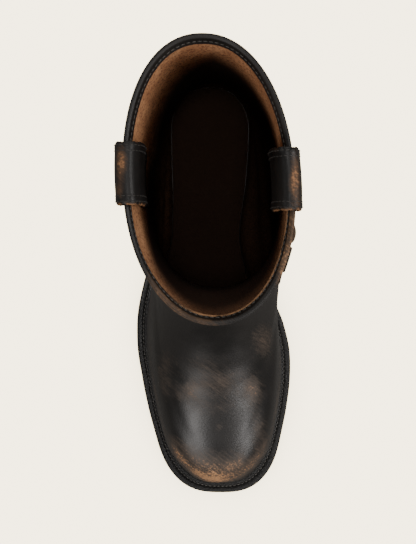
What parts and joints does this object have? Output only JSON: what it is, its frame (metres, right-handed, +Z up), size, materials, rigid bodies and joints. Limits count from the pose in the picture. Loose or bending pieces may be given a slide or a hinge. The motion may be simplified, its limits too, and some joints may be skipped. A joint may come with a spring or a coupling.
{
  "type": "harness boot",
  "caption": "Pull-on right-foot leather boot with a square toe, stitched welt, block heel, pull loops and an ankle harness of straps joined at two rings.",
  "frame": {"origin": "on the floor, under the middle of the boot's box", "axes": "+Z up, the toe points to -Y, the inner side of the foot is +X"},
  "size_m": [0.1144, 0.304, 0.3157],
  "materials": {
    "upper_leather": "satin black with brown rub-off",
    "binding_leather": "satin black",
    "strap_leather": "satin black with brown rub-off",
    "welt_leather": "black, stitched",
    "sole_leather": "black edge dressing",
    "heel_leather": "stacked, black edge dressing",
    "insole_leather": "plain",
    "rubber": "matte",
    "ring_steel": "aged"
  },
  "bodies": {
    "root": {"outsole": "sole_leather", "heel_stack": "heel_leather", "heel_lift": "rubber", "welt": "welt_leather", "insole": "insole_leather", "upper": "upper_leather", "collar_binding": "binding_leather", "pull_strap_lateral": "strap_leather", "pull_strap_medial": "strap_leather", "harness_instep_strap": "strap_leather", "harness_heel_strap": "strap_leather", "harness_sole_strap_lateral": "strap_leather", "harness_sole_strap_medial": "strap_leather", "harness_ring_lateral": "ring_steel", "harness_ring_medial": "ring_steel"}
  },
  "joints": []
}
